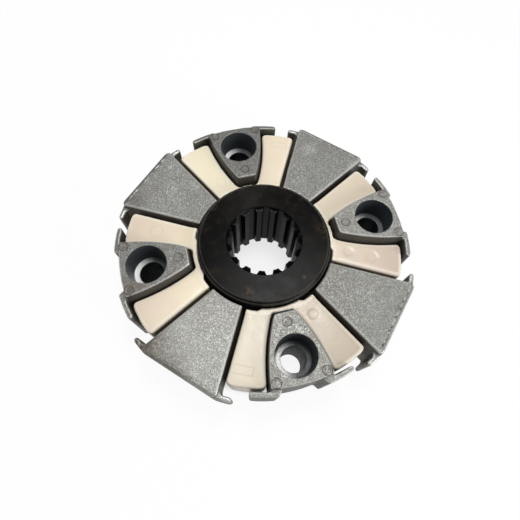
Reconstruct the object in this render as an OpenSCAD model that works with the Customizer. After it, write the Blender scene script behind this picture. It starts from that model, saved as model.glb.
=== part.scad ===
// Torsionally stiff shaft coupling for a splined pump shaft on an engine flywheel.
// Four cast blocks are screwed to a steel hub, four cast inserts are bolted to the flywheel,
// and four polymer forks part the two sets and carry the torque between them.
// Z is the shaft axis, z = 0 is the face that meets the flywheel, and a flange hole lies on +X.

/* [Hub] */
// Diameter of the round hub body
hub_d = 91.2; // [84:0.1:96]
// Length of the hub along the shaft
hub_len = 50.2; // [42:0.1:51]
// Chamfer round both ends of the hub
hub_chamfer = 2; // [0.5:0.1:4]
// How far the four seats for the blocks stand out of the hub
seat_rise = 1.4; // [0.6:0.1:3]
// Width of each seat, across the block that it carries
seat_w = 41; // [30:0.5:44]
// Height of each seat along the shaft
seat_h = 30; // [24:0.5:36]
// Angle at which the sides of a seat widen toward the shaft
seat_flare_a = 28; // [0:1:32]
// Number of spline teeth in the bore
spline_teeth = 15; // [9:1:24]
// Diameter at the bottom of the spline spaces
spline_major_d = 51; // [40:0.1:53]
// Depth of the spline teeth
spline_depth = 3.2; // [1:0.1:4]
// Chamfer at both mouths of the splined bore
bore_chamfer = 1.2; // [0.3:0.1:3]

/* [Hub blocks] */
// Distance across two opposite blocks, over their outer faces
block_across = 205; // [200:0.5:208]
// Height of a block along the shaft
block_h = 40.8; // [36:0.1:46]
// Width of a block at its outer face, half way up
block_w = 58.6; // [54:0.1:62]
// Angle of each flank to the block's own centre line
flank_a = 16.6; // [12:0.1:20]
// Slope of the flanks from mid height to the ends, so that they are crowned
flank_draft = 3.4; // [0.5:0.1:5]
// Radius of the two outer corners of a block
block_corner_r = 4.5; // [1:0.1:7]
// Width of the sloping strip along the outer edge of the end faces
strip_w = 3; // [1:0.1:6]
// Drop of that strip
strip_drop = 1.1; // [0.3:0.1:3]
// Thickness of the ears at the outer corners
ear_t = 3.3; // [2:0.1:5]
// Height of the ears along the shaft
ear_h = 31.8; // [20:0.1:36]
// Distance between the tips of the two ears of a block
ear_span = 72; // [66:0.5:76]
// Radius of the fillet between a flank and its ear
ear_fillet = 3.5; // [1:0.1:4.5]

/* [Flange inserts] */
// Height of an insert, which is the height of the whole coupling
insert_h = 52; // [51.2:0.1:60]
// Diameter of the circle that the outer faces lie on
insert_d = 193; // [192.4:0.1:196]
// Width of the flat nose at the end faces
nose_w = 13; // [6:0.1:14]
// Width of the end face where its sides meet the outer face
insert_w = 39.4; // [35:0.1:40]
// How far the sides bulge out from straight
side_bulge = 2; // [1:0.1:4]
// Slope of the sides and nose from mid height to the end faces
insert_draft = 3; // [0.5:0.1:4]
// Width of the hollow in the middle of the outer face
hollow_w = 25; // [16:0.5:30]
// Thickness of the wings that hold the forks in
wing_t = 3.3; // [2:0.1:4]
// Height of the wings along the shaft
wing_h = 44; // [30:0.5:50]
// Distance between the tips of the two wings of an insert
wing_span = 66; // [56:0.5:68]
// Pitch circle of the four flange holes
hole_pcd = 158.6; // [156:0.1:161]
// Diameter of the flange holes
hole_d = 16.7; // [13:0.1:18]
// Diameter of the counterbore at the end face
head_bore_d = 26.4; // [24:0.1:28]
// Diameter of the counterbore at its floor
head_floor_d = 24; // [20:0.1:25]
// Depth of the counterbore
head_bore_depth = 17.4; // [10:0.1:24]
// Diameter of the round ejector marks
mark_d = 6; // [3:0.1:7]
// Depth of the ejector marks, on the forks too
mark_depth = 0.3; // [0.1:0.05:0.8]

/* [Polymer forks] */
// Diameter of the circle that the fork ends lie on
fork_d = 192; // [186:0.1:192.2]
// Height of a fork along the shaft
fork_h = 36.8; // [30:0.1:40]
// Thickness of the thin bridge round the nose of the insert
bridge_t = 3.4; // [2:0.1:5]
// Slope of the fork's outer flanks from mid height to the ends
fork_draft = 4.5; // [0.5:0.1:6]
// Radius of the corners beside the blocks
fork_corner_r = 5; // [1:0.1:7]
// Radius of the corners beside the insert
fork_inner_r = 3; // [0.5:0.1:5]
// Diameter of the small ejector mark on each prong
fork_mark_d = 7.5; // [3:0.1:9]

/* [Screws and pins] */
// Thread diameter of the radial screws
screw_d = 16; // [12:0.5:16.4]
// Length of the radial screws under the head
screw_len = 49; // [44:0.5:49.5]
// Diameter of the screw heads
screw_head_d = 24; // [20:0.1:25]
// Height of the screw heads
screw_head_h = 16; // [10:0.1:18]
// Width of the hexagon socket, across its corners
socket_corners = 16.2; // [8:0.1:18]
// Depth of the hexagon socket
socket_depth = 8; // [4:0.1:9]
// Depth of the screw seat below the outer face of a block
screw_seat_depth = 25.5; // [20:0.1:30]
// Outer diameter of the spring pins round the screws
pin_d = 21; // [18:0.1:22]
// Wall of the spring pins
pin_wall = 1.8; // [0.8:0.1:2]
// Length of a spring pin
pin_len = 11; // [6:0.1:12]
// Width of the slot along a spring pin
pin_slot = 1.6; // [0.5:0.1:3]

/* [Clearances] */
// Gap between the forks and the metal round them
fork_fit = 0.3; // [0.2:0.05:0.6]
// Gap between the fork's notch and the seat of the hub
notch_fit = 0.9; // [0.3:0.1:1.5]
// Gap between the nose of an insert and the bridge of its fork
nose_gap = 1; // [0.4:0.1:2]
// Gap between the fork ends and the wings outside them
wing_gap = 1.7; // [0.5:0.1:3]
// Step from the wings out to the ears
ear_step = 1.3; // [0.5:0.1:3]
// Gap between a block and its seat on the hub
seat_fit = 0.1; // [0.05:0.05:0.3]
// Radial gap round the screws and spring pins
screw_fit = 0.15; // [0.05:0.05:0.4]

/* [Hidden] */
$fn = 180;
arms = 4;
step_a = 360 / arms;
half_step_a = step_a / 2;
// Overrun of every cut, and reach of a corner's cut or fill past the edges it joins
over = 1;
past_share = 1.2;
mid_z = insert_h / 2;

// Radii from the hub outward
hub_r = hub_d / 2;
seat_r = hub_r + seat_rise;
fork_in_r = hub_r + fork_fit;
bridge_r = fork_in_r + bridge_t;
fork_r = fork_d / 2;
insert_r = insert_d / 2;
wing_in_r = fork_r + wing_gap;
wing_out_r = wing_in_r + wing_t;
ear_in_r = wing_out_r + ear_step;
ear_out_r = ear_in_r + ear_t;
hole_circle_r = hole_pcd / 2;

// Flanks of a block, in the block's own frame with x along its centre line
face_x = block_across / 2;
flank_dist = block_w / 2 * cos(flank_a) - face_x * sin(flank_a);
flank_n_a = 90 + flank_a;
fork_flank_dist = flank_dist + fork_fit;
fork_half_a = half_step_a - flank_a;
// The plans overrun the flanks, and the sloped cuts trim them back
block_plan_extra = over / cos(flank_a);
fork_apex_x = (fork_flank_dist - over) / cos(half_step_a + flank_a);

// Sides of an insert: one arc through the nose corner and the outer corner of the end face
side_slope = tan(insert_draft) * mid_z;
nose_mid_x = bridge_r + nose_gap;
nose_end_x = nose_mid_x + side_slope;
nose_pt = [nose_end_x, nose_w / 2];
corner_pt = [sqrt(pow(insert_r, 2) - pow(insert_w / 2, 2)), insert_w / 2];
side_chord = corner_pt - nose_pt;
side_len = norm(side_chord);
side_r = pow(side_len, 2) / (8 * side_bulge) + side_bulge / 2;
side_out = [-side_chord[1], side_chord[0]] / side_len;
side_centre = (nose_pt + corner_pt) / 2 - side_out * (side_r - side_bulge);

// Places of the ejector marks, along and across the centre line of an insert
mark_inset = mark_d / 2 + wing_t / 3;
nose_mark_share = 1.1;
nose_mark_x = nose_end_x + mark_d * nose_mark_share;
corner_mark_x = corner_pt[0] - mark_inset + wing_t / 2;
corner_mark_y = corner_pt[1] - mark_inset;
// Places of the two marks on a fork prong, as shares of the ring between hub and fork end
prong_radius_shares = [0.26, 0.58];
prong_angle_shares = [0.66, 0.72];
prong_size_shares = [1, 1.25];

// Radial screws and spring pins
screw_r = screw_d / 2;
screw_hole_r = screw_r + screw_fit * 2;
screw_bore_r = screw_head_d / 2 + screw_fit * 4;
screw_seat_x = face_x - screw_seat_depth;
screw_tip_x = screw_seat_x - screw_len;
thread_end_x = screw_tip_x - over;
pin_r = pin_d / 2;
pin_in_x = seat_r - pin_len / 2;
pin_out_x = seat_r + pin_len / 2;
pin_end_gap = screw_fit;

metal = [0.62, 0.62, 0.61];
dark_steel = [0.14, 0.13, 0.12];
cream = [0.93, 0.89, 0.79];
screw_black = [0.2, 0.2, 0.21];
spring_steel = [0.45, 0.45, 0.47];

function polar(r, a) = [r * cos(a), r * sin(a)];

module ring(r_in, r_out) {
    difference() {
        circle(r_out);
        circle(r_in);
    }
}

// Sector of the plane between two angles, long enough to pass radius r
module sector(r, a_from, a_to) {
    polygon([[0, 0], polar(2 * r, a_from), polar(2 * r, a_to)]);
}

// Both signs of y
module both_sides() {
    children();
    mirror([0, 1, 0]) children();
}

// Solid of height h, centred half way up the coupling
module slab(h) {
    translate([0, 0, mid_z - h / 2]) linear_extrude(h) children();
}

// Corner left over by a circle of radius r that touches one edge at to_a and another at to_b,
// reaching a little past both edges
module corner_left(centre, to_a, to_b, r) {
    far = (to_a + to_b) / (1 + to_a * to_b / pow(r, 2));
    difference() {
        polygon([centre, centre + to_a * past_share, centre + far * past_share,
            centre + to_b * past_share]);
        translate(centre) circle(r);
    }
}

// Round of radius r between a block's flank and its outer face
module block_corner(r) {
    centre_x = face_x - r;
    centre = [centre_x, (flank_dist - r - centre_x * cos(flank_n_a)) / sin(flank_n_a)];
    corner_left(centre, polar(r, 0), polar(r, flank_n_a), r);
}

// Corner between a flank line at distance d and an arc of radius r_arc: the round's cut on
// a fork, and the fillet's fill on an ear
module flank_corner(d, r_arc, r) {
    centre = polar(r_arc - r, flank_n_a - acos((d + r) / (r_arc - r)));
    corner_left(centre, polar(r, flank_n_a + 180), centre * r / (r_arc - r), r);
}

// Cut that slopes a flank from mid height to both ends: side = 1 trims a block, -1 a fork
module flank_relief(d, h, draft, side) {
    reach = h / 2 + over;
    lean = tan(draft) * reach;
    translate([0, 0, mid_z]) rotate([0, 0, flank_a]) translate([0, d, 0]) rotate([90, 0, 90])
        linear_extrude(ear_out_r + ear_t)
            polygon([[0, 0], [-side * lean, reach], [side * ear_out_r, reach],
                [side * ear_out_r, -reach], [-side * lean, -reach]]);
}

// Seats for the blocks, flat sided, widening from their corners toward the shaft
module seats_plan(extra_r, extra_w) {
    corner_y = seat_w / 2 + extra_w;
    in_x = seat_r / 2;
    in_y = corner_y + (sqrt(pow(seat_r, 2) - pow(seat_w / 2, 2)) - in_x) * tan(seat_flare_a);
    out_x = seat_r + extra_r + over;
    out_y = in_y - (out_x - in_x) * tan(seat_flare_a);
    for (i = [0 : arms - 1]) rotate(half_step_a + i * step_a) intersection() {
        circle(seat_r + extra_r);
        polygon([[in_x, -in_y], [out_x, -out_y], [out_x, out_y], [in_x, in_y]]);
    }
}

module spline_space_plan() {
    spline_major_r = spline_major_d / 2;
    spline_minor_r = spline_major_r - spline_depth;
    pitch_a = 360 / spline_teeth;
    // Shares of the tooth pitch taken by a space at its mouth and at its floor
    mouth_share = 0.62;
    floor_share = 0.36;
    circle(spline_minor_r);
    for (i = [0 : spline_teeth - 1]) rotate(i * pitch_a)
        polygon([[0, 0], polar(spline_minor_r, -pitch_a * mouth_share / 2),
            polar(spline_major_r, -pitch_a * floor_share / 2),
            polar(spline_major_r, pitch_a * floor_share / 2),
            polar(spline_minor_r, pitch_a * mouth_share / 2)]);
}

module hub() {
    hub_base_z = mid_z - hub_len / 2;
    // The mouth's chamfer reaches a little past the bottoms of the spline spaces
    mouth_share = 0.3;
    mouth_r = spline_major_d / 2 + bore_chamfer * mouth_share;
    color(dark_steel) difference() {
        union() {
            translate([0, 0, hub_base_z]) rotate_extrude()
                polygon([[0, 0], [hub_r - hub_chamfer, 0], [hub_r, hub_chamfer],
                    [hub_r, hub_len - hub_chamfer], [hub_r - hub_chamfer, hub_len], [0, hub_len]]);
            slab(seat_h) seats_plan(0, 0);
        }
        slab(hub_len + 2 * over) spline_space_plan();
        translate([0, 0, hub_base_z]) both_ends(hub_len)
            translate([0, 0, -over])
                cylinder(h = bore_chamfer + over, r1 = mouth_r + over, r2 = mouth_r - bore_chamfer);
        for (i = [0 : arms - 1]) rotate([0, 0, half_step_a + i * step_a]) translate([0, 0, mid_z]) {
            rotate([0, 90, 0]) translate([0, 0, thread_end_x])
                cylinder(h = seat_r, r = screw_r + screw_fit);
            rotate([0, 90, 0]) translate([0, 0, pin_in_x - pin_end_gap])
                cylinder(h = seat_r, r = pin_r + screw_fit);
        }
    }
}

// The same cut at z = 0 and, turned over, at z = h
module both_ends(h) {
    children();
    translate([0, 0, h]) mirror([0, 0, 1]) children();
}

module place_block(i) {
    rotate([0, 0, half_step_a + (i - 1) * step_a]) children();
}

module block_plan() {
    neck_x = seat_r / 2;
    face_y = block_w / 2 + block_plan_extra;
    neck_y = face_y - (face_x - neck_x) * tan(flank_a);
    polygon([[neck_x, -neck_y], [face_x, -face_y], [face_x, face_y], [neck_x, neck_y]]);
}

module ears_plan() {
    ear_mid_r = ear_in_r + ear_t / 2;
    tip_a = asin((ear_span - ear_t) / 2 / ear_mid_r);
    root_a = asin(block_w / 2 / ear_mid_r) - flank_a / 2;
    both_sides() {
        intersection() {
            ring(ear_in_r, ear_out_r);
            sector(ear_out_r, root_a, tip_a);
        }
        translate(polar(ear_mid_r, tip_a)) circle(ear_t / 2);
        flank_corner(flank_dist - tan(flank_draft) * ear_h / 2, ear_in_r, ear_fillet);
    }
}

// Sloping strip along the outer edge of an end face, cut away from z = 0 upward
module strip_cut() {
    rotate([90, 0, 0]) translate([0, 0, -block_w]) linear_extrude(2 * block_w)
        polygon([[face_x - strip_w, 0], [face_x, strip_drop], [face_x + over, strip_drop],
            [face_x + over, -over], [face_x - strip_w, -over]]);
}

module hub_block(i) {
    block_base_z = mid_z - block_h / 2;
    color(metal) place_block(i) difference() {
        union() {
            difference() {
                slab(block_h) block_plan();
                both_sides() flank_relief(flank_dist, block_h, flank_draft, 1);
                slab(block_h + 2 * over) both_sides() block_corner(block_corner_r);
                translate([0, 0, block_base_z]) both_ends(block_h) strip_cut();
            }
            difference() {
                slab(ear_h) ears_plan();
                translate([face_x, -block_w, 0]) cube([ear_out_r, 2 * block_w, insert_h]);
            }
        }
        slab(block_h + 2 * over) circle(seat_r + seat_fit);
        translate([0, 0, mid_z]) rotate([0, 90, 0]) {
            cylinder(h = face_x, r = screw_hole_r);
            cylinder(h = pin_out_x + pin_end_gap, r = pin_r + screw_fit);
            translate([0, 0, screw_seat_x]) cylinder(h = face_x, r = screw_bore_r);
        }
    }
}

// Socket screw along the centre line of a block, its tip in the hub
module radial_screw(i) {
    head_edge = screw_head_h / 16;
    tip_edge = screw_d / 16;
    color(screw_black) place_block(i) translate([screw_tip_x, 0, mid_z]) rotate([0, 90, 0])
        difference() {
            rotate_extrude()
                polygon([[0, 0], [screw_r - tip_edge, 0], [screw_r, tip_edge], [screw_r, screw_len],
                    [screw_head_d / 2, screw_len], [screw_head_d / 2, screw_len + screw_head_h - head_edge],
                    [screw_head_d / 2 - head_edge, screw_len + screw_head_h],
                    [0, screw_len + screw_head_h]]);
            translate([0, 0, screw_len + screw_head_h - socket_depth])
                cylinder(h = socket_depth + over, r = socket_corners / 2, $fn = 6);
        }
}

// Slotted spring pin round the screw, half in the hub and half in the block
module spring_pin(i) {
    color(spring_steel) place_block(i) translate([pin_in_x, 0, mid_z]) rotate([0, 90, 0])
        linear_extrude(pin_len) difference() {
            ring(pin_r - pin_wall, pin_r);
            translate([0, -pin_slot / 2]) square([pin_d, pin_slot]);
        }
}

module place_insert(i) {
    rotate([0, 0, (i - 1) * step_a]) children();
}

// Barrel whose wall is one side of the insert: widest at mid height
module side_barrel() {
    translate(side_centre) both_ends(insert_h)
        cylinder(h = mid_z, r1 = side_r, r2 = side_r + side_slope);
}

// Outer rim with the hollow in its middle and a wing at each end
module insert_rim_plan() {
    rim_depth = wing_out_r - insert_r;
    wing_mid_r = wing_in_r + wing_t / 2;
    tip_a = asin((wing_span - wing_t) / 2 / wing_mid_r);
    difference() {
        union() {
            intersection() {
                ring(insert_r - over, wing_out_r);
                translate(side_centre) circle(side_r);
                mirror([0, 1]) translate(side_centre) circle(side_r);
            }
            intersection() {
                ring(wing_in_r, wing_out_r);
                sector(wing_out_r, -tip_a, tip_a);
            }
            both_sides() translate(polar(wing_mid_r, tip_a)) circle(wing_t / 2);
        }
        polygon([[insert_r - 2 * over, -hollow_w / 2 + over], [insert_r - over, -hollow_w / 2],
            [wing_out_r + over, -hollow_w / 2 - rim_depth], [wing_out_r + over, hollow_w / 2 + rim_depth],
            [insert_r - over, hollow_w / 2], [insert_r - 2 * over, hollow_w / 2 - over]]);
    }
}

module flange_insert(i) {
    color(metal) place_insert(i) difference() {
        union() {
            intersection() {
                side_barrel();
                mirror([0, 1, 0]) side_barrel();
                cylinder(h = insert_h, r = insert_r);
                rotate([90, 0, 0]) translate([0, 0, -insert_w]) linear_extrude(2 * insert_w)
                    polygon([[nose_end_x, 0], [insert_r, 0], [insert_r, insert_h],
                        [nose_end_x, insert_h], [nose_mid_x, mid_z]]);
            }
            slab(wing_h) insert_rim_plan();
        }
        translate([hole_circle_r, 0, -over]) cylinder(h = insert_h + 2 * over, r = hole_d / 2);
        translate([hole_circle_r, 0, insert_h - head_bore_depth])
            cylinder(h = head_bore_depth, r1 = head_floor_d / 2, r2 = head_bore_d / 2);
        translate([hole_circle_r, 0, insert_h]) cylinder(h = over, r = head_bore_d / 2);
        for (p = [[nose_mark_x, 0], [corner_mark_x, corner_mark_y], [corner_mark_x, -corner_mark_y]])
            translate([p[0], p[1], insert_h - mark_depth]) cylinder(h = mark_depth + over, r = mark_d / 2);
    }
}

module fork_plan() {
    far_x = 2 * fork_r;
    far_y = (far_x - fork_apex_x) * tan(fork_half_a);
    pocket_r = side_r + side_slope + fork_fit;
    // Centre of the round beside the insert: it touches the pocket's side and the end arc
    axis_dist = norm(side_centre);
    along = (pow(fork_r - fork_inner_r, 2) - pow(pocket_r + fork_inner_r, 2) + pow(axis_dist, 2))
        / (2 * axis_dist);
    across = sqrt(pow(fork_r - fork_inner_r, 2) - pow(along, 2));
    toward = side_centre / axis_dist;
    round_centre = toward * along + [-toward[1], toward[0]] * across;
    to_pocket = (side_centre - round_centre) * fork_inner_r / (pocket_r + fork_inner_r);
    to_end = round_centre * fork_inner_r / (fork_r - fork_inner_r);
    difference() {
        intersection() {
            circle(fork_r);
            polygon([[fork_apex_x, 0], [far_x, -far_y], [far_x, far_y]]);
        }
        circle(fork_in_r);
        seats_plan(notch_fit, notch_fit);
        // Pocket for the insert, up to the thin bridge
        difference() {
            intersection() {
                translate(side_centre) circle(pocket_r);
                mirror([0, 1]) translate(side_centre) circle(pocket_r);
            }
            circle(bridge_r);
        }
        both_sides() rotate(half_step_a) mirror([0, 1])
            flank_corner(fork_flank_dist, fork_r, fork_corner_r);
        both_sides() corner_left(round_centre, to_pocket, to_end, fork_inner_r);
    }
}

module polymer_fork(i) {
    fork_top_z = mid_z + fork_h / 2;
    color(cream) place_insert(i) difference() {
        slab(fork_h) fork_plan();
        both_sides() rotate([0, 0, half_step_a]) mirror([0, 1, 0])
            flank_relief(fork_flank_dist, fork_h, fork_draft, -1);
        both_sides() for (k = [0, 1])
            translate(concat(polar(fork_in_r + (fork_r - fork_in_r) * prong_radius_shares[k],
                    fork_half_a * prong_angle_shares[k]), [fork_top_z - mark_depth]))
                cylinder(h = mark_depth + over, r = fork_mark_d * prong_size_shares[k] / 2);
    }
}

hub();
for (i = [1 : arms]) {
    hub_block(i);
    radial_screw(i);
    spring_pin(i);
    flange_insert(i);
    polymer_fork(i);
}
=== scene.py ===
import bpy
import bmesh
import math
import numpy as np
from mathutils import Matrix, Quaternion, Vector, noise


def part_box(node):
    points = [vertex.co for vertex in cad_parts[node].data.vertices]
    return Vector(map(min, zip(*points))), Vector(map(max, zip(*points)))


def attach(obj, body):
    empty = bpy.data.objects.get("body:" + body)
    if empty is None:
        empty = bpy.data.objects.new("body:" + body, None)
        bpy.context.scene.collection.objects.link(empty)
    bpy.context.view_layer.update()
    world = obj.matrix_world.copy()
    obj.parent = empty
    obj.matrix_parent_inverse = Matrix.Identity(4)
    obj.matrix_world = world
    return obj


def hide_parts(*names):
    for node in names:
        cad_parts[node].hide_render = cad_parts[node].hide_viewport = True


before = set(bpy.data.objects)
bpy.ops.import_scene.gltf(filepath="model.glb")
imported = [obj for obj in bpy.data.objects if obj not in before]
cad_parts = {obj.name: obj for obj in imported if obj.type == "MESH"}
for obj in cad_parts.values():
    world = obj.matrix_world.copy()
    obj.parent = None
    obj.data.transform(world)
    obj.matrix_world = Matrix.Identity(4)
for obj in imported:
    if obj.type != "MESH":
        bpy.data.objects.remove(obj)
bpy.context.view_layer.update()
MM = 0.001
scene = bpy.context.scene


# Hub: one turned steel ring with a broached spline, blackened all over. The lathe left a chamfer
# at both ends with a fine groove half way down it. Damp has mottled it and left specks of rust.
def new_finish(name):
    finish = bpy.data.materials.new(name)
    finish.use_nodes = True
    return finish, finish.node_tree, finish.node_tree.nodes["Principled BSDF"]


def put(tree, kind, inputs=None, **settings):
    """Adds one shader node; an input is a value or another node's output."""
    made = tree.nodes.new("ShaderNode" + kind)
    for key, value in settings.items():
        setattr(made, key, value)
    for key, value in (inputs or {}).items():
        if isinstance(value, bpy.types.NodeSocket):
            tree.links.new(value, made.inputs[key])
        else:
            made.inputs[key].default_value = value
    return made


def calc(tree, operation, *numbers):
    """A number worked out from one or two others."""
    return put(tree, "Math", dict(enumerate(numbers)), operation=operation).outputs[0]


def times(tree, first, second):
    return calc(tree, "MULTIPLY", first, second)


def measure(tree, operation, *places):
    """A length, distance or dot product of places."""
    return put(tree, "VectorMath", dict(enumerate(places)), operation=operation).outputs["Value"]


def part_of(tree, place, axis):
    """The x, y or z of a place, for axis 0, 1 or 2."""
    return put(tree, "SeparateXYZ", {0: place}).outputs[axis]


def ramp(tree, value, low, high, out_low=0.0, out_high=1.0):
    """value from low to high, turned smoothly into out_low to out_high."""
    inputs = {0: value, 1: low, 2: high, 3: out_low, 4: out_high}
    return put(tree, "MapRange", inputs, interpolation_type="SMOOTHSTEP").outputs[0]


def band(tree, value, middle, full, none):
    """1 where value is within full of middle, falling to 0 at none from it."""
    off = calc(tree, "ABSOLUTE", calc(tree, "SUBTRACT", value, middle))
    return ramp(tree, off, full, none, 1.0, 0.0)


def paint(tree, colour, share, over):
    """The colour with a share of another over it; each is (r, g, b) or a node's output."""
    under, over = (part + (1,) if isinstance(part, tuple) else part for part in (colour, over))
    return put(tree, "Mix", {0: share, 6: under, 7: over}, data_type="RGBA").outputs[2]


def blotches(tree, place, size, detail=2.0, rough=0.5):
    """Soft blotches about size across, 0 to 1."""
    inputs = {"Vector": place, "Scale": 1.0 / size, "Detail": detail, "Roughness": rough}
    return put(tree, "TexNoise", inputs).outputs["Fac"]


def near(tree, place, x, y, z, reach):
    """1 at the point x, y, z, falling to 0 at reach from it."""
    return ramp(tree, measure(tree, "DISTANCE", place, (x, y, z)), 0.0, reach, 1.0, 0.0)


def from_shaft(tree, place):
    """Distance from the shaft axis."""
    flat = put(tree, "VectorMath", {0: place, 1: (1, 1, 0)}, operation="MULTIPLY").outputs[0]
    return measure(tree, "LENGTH", flat)


def dress(tree, shader, colour, roughness, pattern, strength, depth):
    """Gives the surface its colour, its roughness, and relief from a pattern."""
    tree.links.new(colour, shader.inputs["Base Color"])
    tree.links.new(roughness, shader.inputs["Roughness"])
    bump = put(tree, "Bump", {"Strength": strength, "Distance": depth, "Height": pattern})
    tree.links.new(bump.outputs[0], shader.inputs["Normal"])


def stand_for(mesh, name, node, finish):
    """The finished piece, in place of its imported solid."""
    mesh.materials.clear()
    mesh.materials.append(finish)
    mesh.shade_smooth()
    piece = bpy.data.objects.new(name, mesh)
    scene.collection.objects.link(piece)
    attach(piece, "root")
    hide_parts(node)


hub_lo, hub_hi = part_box("hub")
middle_z = (hub_lo.z + hub_hi.z) / 2
bore_r = 25.7 * MM
bore_edge = 0.9 * MM
groove_drop = 1.0 * MM
groove_half = 0.22 * MM
groove_depth = 0.4 * MM
rim_round = 0.35 * MM
rim_width = 2.6 * MM
chamfer_drop = 1.7 * MM
# x, y and reach in mm on the upper face
rust_spots = ((41, -1, 5), (-19, -34, 6), (19, -32, 2.5), (-29, 33, 5), (33, 25, 2))
grey_film_spot = (-4, 42, 40)


def black_oxide(name):
    """Blackened steel: mottled, rusted in specks and spots, and lighter along the rim line and the chamfer
    band.
    """
    finish, tree, shader = new_finish(name)
    place = put(tree, "TexCoord").outputs["Object"]
    mottle = blotches(tree, place, 9 * MM, 5.0, 0.65)
    fine = blotches(tree, place, 1.2 * MM, 3.0, 0.6)
    brown = ramp(tree, mottle, 0.48, 0.72)
    colour = paint(tree, (0.0028, 0.0026, 0.0024), brown, (0.0125, 0.009, 0.0052))
    specks = ramp(tree, blotches(tree, place, 1.7 * MM), 0.70, 0.77)
    damp = ramp(tree, blotches(tree, place, 26 * MM, 1.0), 0.46, 0.6)
    colour = paint(tree, colour, times(tree, specks, damp), (0.075, 0.033, 0.012))
    spotty = ramp(tree, blotches(tree, place, 2.2 * MM, 3.0, 0.6), 0.42, 0.62)
    for x, y, reach in rust_spots:
        spot = near(tree, place, x * MM, y * MM, hub_hi.z, reach * MM)
        colour = paint(tree, colour, times(tree, spot, spotty), (0.06, 0.036, 0.018))
    x, y, reach = grey_film_spot
    film = near(tree, place, x * MM, y * MM, hub_hi.z, reach * MM)
    film = times(tree, film, ramp(tree, mottle, 0.3, 0.7, 0.5, 1.0))
    colour = paint(tree, colour, film, (0.0175, 0.0165, 0.0145))
    from_axis = from_shaft(tree, place)
    # Painted shade: the wall of the bore is painted near black, darker than the oxide elsewhere, for the
    # shade inside it.
    bore_shade = ramp(tree, from_axis, bore_r, bore_r + bore_edge, 0.85, 0.0)
    colour = paint(tree, colour, bore_shade, (0.001, 0.001, 0.001))
    end = hub_hi.z - middle_z
    from_middle = calc(tree, "SUBTRACT", part_of(tree, place, 2), middle_z)
    from_middle = calc(tree, "ABSOLUTE", from_middle)
    # Lighter colour along the rim line and in the chamfer band at both ends of the hub.
    on_rim = ramp(tree, from_axis, hub_hi.x - rim_width, hub_hi.x - rim_width + 0.3 * MM)
    rim_line = ramp(tree, from_middle, end - 0.55 * MM, end - 0.35 * MM)
    chamfer = band(tree, from_middle, end - chamfer_drop, 0.2 * MM, 0.5 * MM)
    lighter_rim = times(tree, on_rim, calc(tree, "MAXIMUM", rim_line, chamfer))
    lighter_rim = times(tree, lighter_rim, ramp(tree, mottle, 0.3, 0.6, 0.5, 0.9))
    colour = paint(tree, colour, lighter_rim, (0.05, 0.047, 0.043))
    roughness = ramp(tree, mottle, 0.3, 0.75, 0.24, 0.36)
    dress(tree, shader, colour, roughness, fine, 0.12, 0.05 * MM)
    shader.inputs["Specular IOR Level"].default_value = 0.05
    return finish


hub_work = bmesh.new()
hub_work.from_mesh(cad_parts["hub"].data)
bmesh.ops.remove_doubles(hub_work, verts=hub_work.verts, dist=0.002 * MM)
for end, turn in ((hub_hi.z, -1), (hub_lo.z, 1)):
    for step in (-1, 0, 1):
        level = end + turn * (groove_drop + step * groove_half)
        everything = hub_work.verts[:] + hub_work.edges[:] + hub_work.faces[:]
        cut = bmesh.ops.bisect_plane(hub_work, geom=everything, dist=1e-7,
                                     plane_co=(0, 0, level), plane_no=(0, 0, 1))
        if step == 0:
            for part in cut["geom_cut"]:
                if isinstance(part, bmesh.types.BMVert) and part.co.xy.length > 0.9 * hub_hi.x:
                    part.co.xy *= 1 - groove_depth / hub_hi.x
rim_edges = [edge for edge in hub_work.edges if len(edge.link_faces) == 2
             and edge.calc_face_angle(0.0) > math.radians(20)
             and all(v.co.xy.length > 0.93 * hub_hi.x for v in edge.verts)
             and all(min(v.co.z - hub_lo.z, hub_hi.z - v.co.z) < 0.1 * MM for v in edge.verts)]
bmesh.ops.bevel(hub_work, geom=rim_edges, offset=rim_round, offset_type="OFFSET", segments=2,
                profile=0.5, affect="EDGES", clamp_overlap=False)
hub_mesh = bpy.data.meshes.new("hub_turned")
hub_work.to_mesh(hub_mesh)
hub_work.free()
stand_for(hub_mesh, "hub_turned", "hub", black_oxide("black_oxide_steel"))
hub_mesh.set_sharp_from_angle(angle=math.radians(12))


# Hub blocks: four gravity castings in aluminium, screwed to the seats of the hub. Their edges came
# rounded from the mould, their faces keep its sand grain, and handling has worn the outer strip.
def evaluated_copy(blank):
    """The mesh of an object with its modifiers applied; the object itself goes."""
    scene.collection.objects.link(blank)
    mesh = bpy.data.meshes.new_from_object(blank.evaluated_get(bpy.context.evaluated_depsgraph_get()))
    bpy.data.objects.remove(blank)
    return mesh


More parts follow.
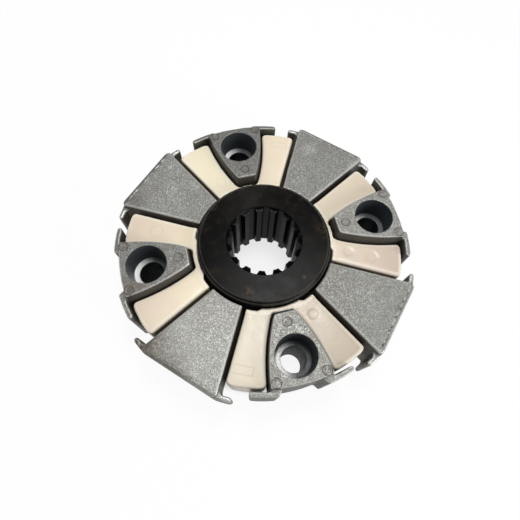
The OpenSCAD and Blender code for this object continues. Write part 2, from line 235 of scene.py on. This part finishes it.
def soften(node, quad, turns, freedom, level=None):
    """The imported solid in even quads, its edges and corners rounded as a mould leaves them.

    freedom(points) says from 0 to 1 how far each point may be rounded off, and level(points)
    fills small marks up first."""
    blank = bpy.data.objects.new("blank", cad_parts[node].data.copy())
    remesh = blank.modifiers.new("quads", "REMESH")
    remesh.mode = "VOXEL"
    remesh.voxel_size = quad
    form = evaluated_copy(blank)
    count = len(form.vertices)
    points = np.empty(count * 3)
    form.vertices.foreach_get("co", points)
    points = points.reshape(-1, 3)
    if level:
        level(points)
    ends = np.empty(len(form.edges) * 2, dtype=np.int32)
    form.edges.foreach_get("vertices", ends)
    first, second = ends.reshape(-1, 2).T
    neighbours = np.bincount(ends, minlength=count)
    pull = 0.5 * freedom(points)
    before = points.copy()
    for _ in range(turns):
        for axis in range(3):
            line = points[:, axis]
            around = np.bincount(first, line[second], count) + np.bincount(second, line[first], count)
            points[:, axis] = line + pull * (around / neighbours - line)
    form.vertices.foreach_set("co", points.ravel())
    form.update()
    normals = np.empty(count * 3)
    form.vertex_normals.foreach_get("vector", normals)
    inward = ((before - points) * normals.reshape(-1, 3)).sum(axis=1)
    rounded = form.attributes.new("rounded_edge", "FLOAT", "POINT")
    rounded.data.foreach_set("value", np.clip(inward / (0.3 * quad), 0, 1))
    return form


def lighten(form, share):
    """The mesh with fewer triangles, mostly taken from its flat faces."""
    heavy = bpy.data.objects.new("heavy", form)
    fewer = heavy.modifiers.new("fewer", "DECIMATE")
    fewer.ratio = share
    return evaluated_copy(heavy)


def turned(form, name, number):
    """A copy of a mesh for place 1 to 4 round the shaft."""
    copy = form.copy()
    copy.name = name
    copy.transform(Matrix.Rotation((number - 1) * math.pi / 2, 4, "Z"))
    return copy


def how_level(tree, where):
    """1 on level faces, 0 on upright ones."""
    return calc(tree, "ABSOLUTE", part_of(tree, where.outputs["Normal"], 2))


def cast_aluminium(name, shift, marks, tone_and_sheen, grime, grain=1.0, edge_rub_and_highlight=1.0):
    """Bare casting: tone_and_sheen is its lightness, partly the casting's own colour and partly a painted
    reflection of the overhead lamp, grime its share of brown film, grain the contrast of its sand
    grain, and edge_rub_and_highlight the brightness of its edges, partly rubbed metal and partly a
    painted highlight. shift moves the patterns, and marks(tree, here, place, colour) adds what only
    some castings have."""
    finish, tree, shader = new_finish(name)
    where = put(tree, "TexCoord")
    here = where.outputs["Object"]
    place = put(tree, "VectorMath", {0: here, 1: (shift, 2 * shift, 0)}).outputs[0]
    crystals = put(tree, "TexVoronoi", {"Vector": place, "Scale": 1.0 / (0.65 * MM)})
    sparkle = put(tree, "RGBToBW", {0: crystals.outputs["Color"]}).outputs[0]
    fine = blotches(tree, place, 0.75 * MM, 3.0, 0.7)
    cloud = blotches(tree, place, 17 * MM, 3.0, 0.6)

    def grey(value):
        return (value * tone_and_sheen, value * tone_and_sheen, 0.93 * value * tone_and_sheen)

    contrast = 0.14 * grain
    colour = paint(tree, grey(0.33 - contrast), ramp(tree, fine, 0.36, 0.66), grey(0.33 + contrast))
    colour = paint(tree, colour, ramp(tree, sparkle, 0.62, 0.85, 0.0, 0.5 * grain), grey(0.66))
    colour = paint(tree, colour, ramp(tree, cloud, 0.42, 0.72, 0.0, grime), (0.15, 0.125, 0.10))
    flatness = how_level(tree, where)
    # Upright faces darkened, a little less on the outermost ones: partly oily grime and partly painted
    # shade on the walls in the gaps and on the side faces.
    inside_reach = ramp(tree, from_shaft(tree, here), 95 * MM, 99 * MM, 1.0, 0.85)
    grime_and_shade = times(tree, ramp(tree, flatness, 0.1, 0.6, 0.85, 0.0), inside_reach)
    colour = paint(tree, colour, grime_and_shade, (0.055, 0.048, 0.04))
    rounded = put(tree, "Attribute", attribute_name="rounded_edge").outputs["Fac"]
    # Rounded edges lightened: partly rubbed metal and partly a painted highlight along them.
    rubbed_and_highlit = times(tree, ramp(tree, rounded, 0.2, 0.8), ramp(tree, fine, 0.35, 0.6, 0.4, 0.85))
    rubbed_and_highlit = times(tree, rubbed_and_highlit, ramp(tree, flatness, 0.1, 0.5, 0.1 * edge_rub_and_highlight, edge_rub_and_highlight))
    colour = paint(tree, colour, rubbed_and_highlit, (0.62, 0.62, 0.6))
    colour = marks(tree, here, place, colour)
    rubbed = ramp(tree, rounded, 0.3, 0.9)
    as_cast = ramp(tree, sparkle, 0.3, 0.9, 0.7, 0.5)
    roughness = put(tree, "Mix", {0: rubbed, 2: as_cast, 3: 0.45}, data_type="FLOAT").outputs[0]
    dress(tree, shader, colour, roughness, fine, 0.13, 0.1 * MM)
    tree.links.new(ramp(tree, rubbed, 0.0, 1.0, 0.4, 0.6), shader.inputs["Metallic"])
    return finish


block_outward = Vector((1, 1, 0)).normalized()
across_blocks = 205 * MM
strip_width = 3 * MM
ridge_far = across_blocks / 2 - strip_width
seat_margin = 3 * MM
bore_reach = 13.5 * MM
block_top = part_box("hub_block_1")[1].z
block_half = block_top - middle_z


def block_freedom(points):
    """The seat and the screw's bore are machined, so they stay crisp."""
    across = points[:, 0] * block_outward.y - points[:, 1] * block_outward.x
    from_bore = np.hypot(across, points[:, 2] - middle_z)
    from_axis = np.hypot(points[:, 0], points[:, 1])
    crisp = (from_bore < bore_reach) | (from_axis < hub_hi.x + seat_margin)
    return np.where(crisp, 0.25, 1.0)


def nick(form, seed):
    """Small dents along the ridge where the outer strip slopes away, from mould and knocks."""
    shift = Vector((seed * 31.7, seed * 11.3, seed * 5.9))
    for vertex in form.vertices:
        outward = vertex.co.xy.dot(block_outward.xy)
        height = vertex.co.z - middle_z
        close = 1 - abs(outward - ridge_far) / (1.6 * MM)
        if close > 0 and abs(height) > block_half - 1.3 * MM:
            dent = max(noise.noise(vertex.co / (1.9 * MM) + shift) + 0.1, 0)
            vertex.co.z -= math.copysign(dent * close * 0.55 * MM, height)
            vertex.co.xy -= block_outward.xy * dent * close * 0.3 * MM


def handled(chipped, grimy, dull_strip, scratches, stains):
    """Chips and grime along the ridge, a duller outer strip, and local scratches and stains.

    A scratch is (x, y, reach, share) in mm, and a stain has its colour too."""
    def marks(tree, here, place, colour):
        outward = calc(tree, "ADD", *(calc(tree, "ABSOLUTE", part_of(tree, here, axis)) for axis in (0, 1)))
        outward = times(tree, outward, math.sqrt(0.5))
        height = calc(tree, "SUBTRACT", part_of(tree, here, 2), middle_z)
        height = calc(tree, "ABSOLUTE", height)
        at_face = ramp(tree, height, block_half - 1.8 * MM, block_half - 1.0 * MM)
        ridge = times(tree, at_face, band(tree, outward, ridge_far, 0.3 * MM, 0.9 * MM))
        dull = ramp(tree, outward, ridge_far + 0.5 * MM, ridge_far + 1.1 * MM, 0.0, dull_strip)
        colour = paint(tree, colour, dull, (0.09, 0.082, 0.07))
        chips = blotches(tree, place, 2.6 * MM, 2.0, 0.6)
        bare = times(tree, ridge, ramp(tree, chips, 0.52, 0.6, 0.0, chipped))
        colour = paint(tree, colour, bare, (0.8, 0.8, 0.78))
        filled = times(tree, ridge, ramp(tree, chips, 0.43, 0.51, grimy, 0.0))
        colour = paint(tree, colour, filled, (0.07, 0.06, 0.05))
        drawn = {0: place, 2: (0, 0, -0.7), 3: (0.5 * MM, 5 * MM, 1)}
        along = put(tree, "Mapping", drawn, vector_type="TEXTURE").outputs[0]
        streaks = blotches(tree, along, 1.0, 1.0)
        for x, y, reach, share in scratches:
            zone = near(tree, here, x * MM, y * MM, block_top, reach * MM)
            scratched = times(tree, ramp(tree, streaks, 0.56, 0.64, 0.0, share), zone)
            colour = paint(tree, colour, scratched, (0.75, 0.75, 0.73))
        for x, y, reach, share, stain in stains:
            zone = near(tree, here, x * MM, y * MM, block_top, reach * MM)
            stained = times(tree, zone, ramp(tree, chips, 0.3, 0.55, 0.4 * share, share))
            colour = paint(tree, colour, stained, stain)
        return colour
    return marks


block_form = lighten(soften("hub_block_1", 0.5 * MM, 12, block_freedom), 0.3)
brown_film = (0.10, 0.075, 0.052)
dark_film = (0.06, 0.05, 0.042)
light_rub = (0.6, 0.6, 0.58)
# Block 3's higher tone_and_sheen is partly a painted reflection of the overhead lamp on its face.
block_looks = (
    (dict(tone_and_sheen=0.70, grime=0.20, grain=1.15),
     dict(chipped=0.35, grimy=0.4, dull_strip=0.15,
          scratches=[(55, 70, 9, 0.6)],
          stains=[(83, 45, 9, 0.4, light_rub), (53, 69, 8, 0.25, light_rub)])),
    (dict(tone_and_sheen=0.78, grime=0.20, grain=1.15),
     dict(chipped=0.85, grimy=0.6, dull_strip=0.75,
          scratches=[(-51, 74, 9, 0.7), (-55, 58, 9, 0.8), (-38, 56, 6, 0.8), (-53, 47, 8, 0.6)],
          stains=[(-82, 52, 12, 0.4, dark_film)])),
    (dict(tone_and_sheen=1.14, grime=0.12, grain=0.72),
     dict(chipped=0.15, grimy=0.5, dull_strip=0.4,
          scratches=[],
          stains=[(-91, -48, 30, 1.0, brown_film), (-76, -70, 17, 0.6, brown_film),
                  (-36, -36, 34, 0.22, brown_film)])),
    (dict(tone_and_sheen=0.77, grime=0.25, grain=0.72),
     dict(chipped=0.1, grimy=0.95, dull_strip=0.1,
          scratches=[(60, -50, 8, 0.4)],
          stains=[(74, -66, 4, 0.35, dark_film), (36, -36, 34, 0.22, brown_film)])))
for number, (casting_look, wear_look) in enumerate(block_looks, 1):
    name = f"hub_block_{number}_casting"
    casting = block_form.copy()
    nick(casting, number)
    block_finish = cast_aluminium(f"cast_aluminium_block_{number}", number * 0.37,
                                  handled(**wear_look), **casting_look)
    stand_for(turned(casting, name, number), name, f"hub_block_{number}", block_finish)


# Radial screws: black socket screws that pull each block onto the hub, down a bore in its outer
# face, with a slotted pin of spring steel round each where block and hub meet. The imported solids
# stay, and only their finish is made here.
def screw_steel(name, colour, roughness):
    finish, tree, shader = new_finish(name)
    place = put(tree, "TexCoord").outputs["Object"]
    patchy = blotches(tree, place, 4 * MM, 3.0, 0.6)
    dark = tuple(part * 0.6 for part in colour)
    patches = paint(tree, colour, ramp(tree, patchy, 0.35, 0.7), dark)
    tree.links.new(patches, shader.inputs["Base Color"])
    uneven = ramp(tree, patchy, 0.3, 0.7, roughness * 0.85, roughness * 1.2)
    tree.links.new(uneven, shader.inputs["Roughness"])
    shader.inputs["Metallic"].default_value = 0.6
    return finish


screw_finish = screw_steel("blackened_screw_steel", (0.05, 0.05, 0.055), 0.4)
pin_finish = screw_steel("drawn_spring_steel", (0.3, 0.3, 0.31), 0.35)
for number in range(1, 5):
    for node, finish in ((f"radial_screw_{number}", screw_finish), (f"spring_pin_{number}", pin_finish)):
        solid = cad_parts[node]
        solid.data.materials.clear()
        solid.data.materials.append(finish)


# Flange inserts: four aluminium castings that the flange screws clamp to the flywheel. The bolt
# hole and its counterbore are machined, and the mould's ejectors left round marks on the face.
insert_lo, insert_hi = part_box("flange_insert_1")
hole_x = 79.3 * MM
hole_reach = 13.9 * MM
bored_r = 13.15 * MM
seat_level = 34.6 * MM
mark_r = 3 * MM
mark_margin = 0.6 * MM
nose_mark = (58.26 * MM, 0.0)
corner_marks = ((92.0 * MM, 15.6 * MM), (92.0 * MM, -15.6 * MM))


def insert_freedom(points):
    """The bolt hole is machined and the ejector marks are sharp, so they stay crisp."""
    crisp = np.hypot(points[:, 0] - hole_x, points[:, 1]) < hole_reach
    on_top = points[:, 2] > insert_hi.z - 0.8 * MM
    for x, y in (nose_mark, *corner_marks):
        from_mark = np.hypot(points[:, 0] - x, points[:, 1] - y)
        crisp |= on_top & (from_mark < mark_r + mark_margin)
    return np.where(crisp, 0.2, 1.0)


def folded(tree, here):
    """The place folded onto half of the +X arm, seen from above."""
    x, y = (calc(tree, "ABSOLUTE", part_of(tree, here, axis)) for axis in (0, 1))
    out = calc(tree, "MAXIMUM", x, y)
    across = calc(tree, "MINIMUM", x, y)
    return put(tree, "CombineXYZ", {0: out, 1: across}).outputs[0]


def machined_hole(number):
    """Bored walls and a machined seat for the screw head, with painted light and shade on them, and grimy
    rims round the ejector marks.
    """
    centre = Matrix.Rotation((number - 1) * math.pi / 2, 3, "Z") @ Vector((hole_x, 0, 0))

    def marks(tree, here, place, colour):
        arm = folded(tree, here)
        height = part_of(tree, here, 2)
        rough = blotches(tree, place, 2.2 * MM, 2.0, 0.6)
        for x, y in (nose_mark, corner_marks[0]):
            from_mark = measure(tree, "DISTANCE", arm, (x, y, 0))
            rim = band(tree, from_mark, mark_r, 0.15 * MM, 0.5 * MM)
            rim = times(tree, rim, ramp(tree, rough, 0.35, 0.55, 0.3, 0.85))
            colour = paint(tree, colour, rim, (0.06, 0.036, 0.027))
            inside = ramp(tree, from_mark, mark_r - 1.2 * MM, mark_r - 0.2 * MM, 1.0, 0.0)
            inside = times(tree, inside, ramp(tree, rough, 0.45, 0.6, 0.0, 0.6))
            colour = paint(tree, colour, inside, (0.10, 0.075, 0.06))
        from_hole = measure(tree, "DISTANCE", arm, (hole_x, 0, 0))
        bored = ramp(tree, from_hole, bored_r, bored_r + 0.2 * MM, 1.0, 0.0)
        below_top = ramp(tree, height, insert_hi.z - 0.5 * MM, insert_hi.z - 0.2 * MM, 1.0, 0.0)
        above_foot = ramp(tree, height, insert_lo.z + 0.2 * MM, insert_lo.z + 0.5 * MM)
        bored = times(tree, bored, times(tree, below_top, above_foot))
        offset = put(tree, "VectorMath", {0: here, 1: centre}, operation="SUBTRACT").outputs[0]
        # Painted light on the lower-left wall, fading toward the mouth of the counterbore; the rest of the
        # wall is painted shade.
        wall_side = measure(tree, "DOT_PRODUCT", offset, (-0.6, -0.8, 0))
        lit_wall = times(tree, ramp(tree, wall_side, 3 * MM, 12 * MM),
                           ramp(tree, height, seat_level + 2 * MM, insert_hi.z, 1.0, 0.3))
        wall = paint(tree, (0.05, 0.06, 0.068), lit_wall, (0.40, 0.40, 0.39))
        # Painted shade, near black, lower down in the hole below the seat.
        deep_shade = ramp(tree, height, seat_level - 2.5 * MM, seat_level - 0.8 * MM, 1.0, 0.0)
        wall = paint(tree, wall, deep_shade, (0.012, 0.017, 0.021))
        # Painted light on the left of the seat and painted shade on its right.
        seat_side = measure(tree, "DOT_PRODUCT", offset, (-0.98, 0.2, 0))
        lit_seat = ramp(tree, seat_side, -3 * MM, 12 * MM)
        seat = paint(tree, (0.09, 0.095, 0.1), lit_seat, (0.85, 0.85, 0.83))
        wall = paint(tree, wall, band(tree, height, seat_level, 0.4 * MM, 0.8 * MM), seat)
        return paint(tree, colour, bored, wall)
    return marks


insert_form = lighten(soften("flange_insert_1", 0.5 * MM, 10, insert_freedom), 0.35)
insert_looks = (dict(tone_and_sheen=0.82, grime=0.30, edge_rub_and_highlight=0.7), dict(tone_and_sheen=0.50, grime=0.35, edge_rub_and_highlight=0.35),
                dict(tone_and_sheen=0.62, grime=0.65, edge_rub_and_highlight=0.8), dict(tone_and_sheen=0.92, grime=0.35, edge_rub_and_highlight=0.8))
for number, casting_look in enumerate(insert_looks, 1):
    name = f"flange_insert_{number}_casting"
    insert_finish = cast_aluminium(f"cast_aluminium_insert_{number}", number * 0.53,
                                   machined_hole(number), **casting_look)
    stand_for(turned(insert_form, name, number), name, f"flange_insert_{number}",
              insert_finish)


# Polymer forks: four mouldings in cream polymer that fill the space between blocks and inserts and
# carry the torque. Their corners are well rounded, and ejectors left faint round marks on them.
fork_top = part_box("polymer_fork_1")[1].z
bridge_end = 51 * MM
# Ejector marks: how far out and across on a prong of the first fork, and how far they reach
inner_mark = (55.7 * MM, 18.6 * MM, 4.35 * MM)
outer_mark = (70.4 * MM, 26.2 * MM, 5.3 * MM)
mark_line_inset = 0.9 * MM
frame_turn = -0.41


def frame_line(tree, here, x, y, half_long, half_short):
    """1 on the outline of a faint moulded rectangle, given in mm."""
    moved = {0: here, 1: (x * MM, y * MM, 0), 2: (0, 0, frame_turn)}
    spot = put(tree, "Mapping", moved, vector_type="TEXTURE").outputs[0]
    past = []
    for axis, half in ((0, half_long), (1, half_short)):
        size = calc(tree, "ABSOLUTE", part_of(tree, spot, axis))
        past.append(calc(tree, "SUBTRACT", size, half * MM))
    return band(tree, calc(tree, "MAXIMUM", *past), 0.0, 0.2 * MM, 0.55 * MM)


def mark_line(tree, here, number, mark, side):
    """1 on the outline of an ejector mark that is rubbed away."""
    x, y, reach = mark
    spot = Matrix.Rotation((number - 1) * math.pi / 2, 3, "Z") @ Vector((x, side * y, 0))
    flat = put(tree, "VectorMath", {0: here, 1: (1, 1, 0)}, operation="MULTIPLY").outputs[0]
    ring = band(tree, measure(tree, "DISTANCE", flat, spot), reach - mark_line_inset, 0.15 * MM, 0.6 * MM)
    on_top = ramp(tree, part_of(tree, here, 2), fork_top - 1.0 * MM, fork_top - 0.5 * MM)
    return times(tree, on_top, ring)


def cream_polymer(number, cream, pink_in_shade, toward_pink_shade, turning, outline, faint_marks):
    """Moulded polymer, turning from cream to a darker pinkish colour toward one side, partly its own tint
    and partly painted shade, with faint lines on its face.
    """
    finish, tree, shader = new_finish(f"moulded_cream_polymer_{number}")
    where = put(tree, "TexCoord")
    here = where.outputs["Object"]
    cloud = ramp(tree, blotches(tree, here, 30 * MM), 0.3, 0.7, -12 * MM, 12 * MM)
    fine = blotches(tree, here, 1.5 * MM, 3.0, 0.6)
    # Painted shade: the fork darkens toward its pinkish side, which is partly a real tint.
    along = calc(tree, "ADD", measure(tree, "DOT_PRODUCT", here, toward_pink_shade), cloud)
    colour = paint(tree, cream, ramp(tree, along, (turning - 30) * MM, (turning + 30) * MM), pink_in_shade)
    if outline:
        line = times(tree, 0.26, frame_line(tree, here, *outline))
        colour = paint(tree, colour, line, tuple(part * 0.68 for part in pink_in_shade))
    for mark, side in faint_marks:
        line = times(tree, 0.22, mark_line(tree, here, number, mark, side))
        colour = paint(tree, colour, line, tuple(part * 0.7 for part in pink_in_shade))
    rounded = put(tree, "Attribute", attribute_name="rounded_edge").outputs["Fac"]
    # Rounded edges lightened toward white: partly polished by rubbing and partly a painted highlight.
    colour = paint(tree, colour, ramp(tree, rounded, 0.1, 0.8, 0.0, 0.4), (0.95, 0.90, 0.81))
    from_axis = from_shaft(tree, here)
    past_bridge = ramp(tree, from_axis, bridge_end - 1.5 * MM, bridge_end)
    on_bridge = calc(tree, "SUBTRACT", 1.0, past_bridge)
    colour = paint(tree, colour, times(tree, on_bridge, 0.3), (0.95, 0.88, 0.74))
    in_seam = times(tree, past_bridge, ramp(tree, from_axis, 92 * MM, 94 * MM, 1.0, 0.0))
    in_seam = times(tree, in_seam, ramp(tree, how_level(tree, where), 0.1, 0.45, 0.8, 0.0))
    colour = paint(tree, colour, in_seam, (0.26, 0.16, 0.10))
    dress(tree, shader, colour, ramp(tree, fine, 0.3, 0.7, 0.30, 0.38), fine, 0.08, 0.1 * MM)
    shader.inputs["Subsurface Weight"].default_value = 0.15
    shader.inputs["Subsurface Radius"].default_value = (1.0, 0.6, 0.3)
    shader.inputs["Subsurface Scale"].default_value = 2 * MM
    return finish


def inside_mark(points, mark, side):
    x, y, reach = mark
    on_top = points[:, 2] > fork_top - 0.8 * MM
    return on_top & (np.hypot(points[:, 0] - x, points[:, 1] - side * y) < reach)


def fork_rounding(plain_marks):
    """The bridge and the plain ejector marks stay crisp; marks that are rubbed away are filled up."""
    def freedom(points):
        crisp = np.hypot(points[:, 0], points[:, 1]) < bridge_end
        for mark, side in plain_marks:
            crisp |= inside_mark(points, mark, side)
        return np.where(crisp, 0.2, 1.0)

    def level(points):
        for mark in (inner_mark, outer_mark):
            for side in (-1, 1):
                if (mark, side) not in plain_marks:
                    points[inside_mark(points, mark, side), 2] = fork_top
    return freedom, level


# Each fork's plain marks, and its polymer; turning is where the pinkish colour, partly painted shade, is
# halfway in, in mm
fork_looks = (
    ([(inner_mark, -1), (outer_mark, -1)],
     dict(cream=(0.72, 0.625, 0.485), pink_in_shade=(0.565, 0.462, 0.375), toward_pink_shade=(0.85, -0.5, 0), turning=60,
          outline=None, faint_marks=[])),
    ([],
     dict(cream=(0.86, 0.78, 0.59), pink_in_shade=(0.81, 0.70, 0.54), toward_pink_shade=(1, 0, 0), turning=0,
          outline=(32, 80, 5.5, 2.2), faint_marks=[(inner_mark, 1)])),
    ([],
     dict(cream=(0.84, 0.745, 0.55), pink_in_shade=(0.72, 0.60, 0.485), toward_pink_shade=(-1, 0, 0), turning=72,
          outline=None, faint_marks=[(outer_mark, -1)])),
    ([(inner_mark, 1)],
     dict(cream=(0.71, 0.63, 0.485), pink_in_shade=(0.465, 0.385, 0.29), toward_pink_shade=(1, 0, 0), turning=0,
          outline=(-33.5, -79, 7, 2.6), faint_marks=[(outer_mark, 1)])))
for number, (plain_marks, polymer_look) in enumerate(fork_looks, 1):
    name = f"polymer_fork_{number}_moulding"
    fork_form = lighten(soften("polymer_fork_1", 0.6 * MM, 34, *fork_rounding(plain_marks)), 0.3)
    polymer_finish = cream_polymer(number, **polymer_look)
    stand_for(turned(fork_form, name, number), name, f"polymer_fork_{number}",
              polymer_finish)


# Studio: a plain white floor under the flywheel face, a soft lamp overhead, a key from the front
# right and a weak one at the left, and the camera at the photograph's angle, 67 degrees down.
floor_half = 3.0
glow_from = 88 * MM
glow_full = 98 * MM
# Floor seen through the bore and through the front flange hole: place, radius and glow
seen_through = (((0, 0, 0), 42 * MM, 0.75), ((0, -hole_x, 0), 18 * MM, 0.9))


def white_floor():
    """White, and glowing to the camera round the part and where it shows through its holes."""
    finish, tree, shader = new_finish("white_floor")
    shader.inputs["Base Color"].default_value = (0.95, 0.95, 0.95, 1)
    shader.inputs["Roughness"].default_value = 0.9
    rays = put(tree, "LightPath").outputs
    seen = calc(tree, "MAXIMUM", rays["Is Camera Ray"], rays["Is Glossy Ray"])
    seen = calc(tree, "MAXIMUM", seen, rays["Is Transmission Ray"])
    glow = put(tree, "Emission", {"Color": (1, 1, 1, 1), "Strength": 1.0}).outputs[0]
    place = put(tree, "TexCoord").outputs["Object"]
    share = ramp(tree, measure(tree, "LENGTH", place), glow_from, glow_full, 0.05, 0.93)
    for spot, reach, strength in seen_through:
        away = measure(tree, "DISTANCE", place, spot)
        lit = ramp(tree, away, reach - 4 * MM, reach, strength, 0.0)
        share = calc(tree, "MAXIMUM", share, lit)
    share = times(tree, seen, share)
    mixed = put(tree, "MixShader", {0: share, 1: shader.outputs[0], 2: glow}).outputs[0]
    tree.links.new(mixed, tree.nodes["Material Output"].inputs["Surface"])
    return finish


floor_mesh = bpy.data.meshes.new("floor")
floor_corners = [(x * floor_half, y * floor_half, 0) for x, y in ((-1, -1), (1, -1), (1, 1), (-1, 1))]
floor_mesh.from_pydata(floor_corners, [], [(0, 1, 2, 3)])
floor_mesh.materials.append(white_floor())
floor = bpy.data.objects.new("floor", floor_mesh)
scene.collection.objects.link(floor)

world = bpy.data.worlds.new("studio")
scene.world = world
world.use_nodes = True
backdrop = world.node_tree.nodes["Background"]
backdrop.inputs["Color"].default_value = (1, 1, 1, 1)
to_camera = put(world.node_tree, "LightPath").outputs["Is Camera Ray"]
fill_strength = 0.22
backdrop_strength = ramp(world.node_tree, to_camera, 0.0, 1.0, fill_strength, 1.0)
world.node_tree.links.new(backdrop_strength, backdrop.inputs["Strength"])
lamp_target = Vector((0, 0, 0.03))


def add_lamp(name, place, size, power):
    light = bpy.data.lights.new(name, "AREA")
    light.shape = "SQUARE"
    light.size = size
    light.energy = power
    lamp = bpy.data.objects.new(name, light)
    lamp.location = place
    lamp.rotation_mode = "QUATERNION"
    lamp.rotation_quaternion = (lamp_target - Vector(place)).to_track_quat("-Z", "Y")
    scene.collection.objects.link(lamp)


add_lamp("front_right_lamp", (0.66, -0.74, 0.4), 0.45, 6)
add_lamp("overhead_lamp", (0.13, 0.17, 0.95), 0.3, 5.8)
add_lamp("left_lamp", (-0.8, 0.3, 0.7), 0.6, 1.5)

camera_data = bpy.data.cameras.new("camera")
camera_data.sensor_width = 36
camera_data.lens = 26.4
camera_data.shift_x = -0.0047
camera_data.shift_y = 0.0023
camera_data.clip_start = 0.01
camera = bpy.data.objects.new("camera", camera_data)
camera.location = (-0.0360, -0.1075, 0.2835)
looking = Vector((0.1229, 0.3666, -0.9222)).normalized()
camera_roll = Quaternion(looking, math.radians(-4.94))
right = camera_roll @ looking.cross(Vector((0, 0, 1))).normalized()
up = right.cross(looking)
camera.rotation_mode = "QUATERNION"
camera.rotation_quaternion = Matrix((right, up, -looking)).transposed().to_quaternion()
scene.collection.objects.link(camera)
scene.camera = camera
scene.view_settings.view_transform = "Standard"
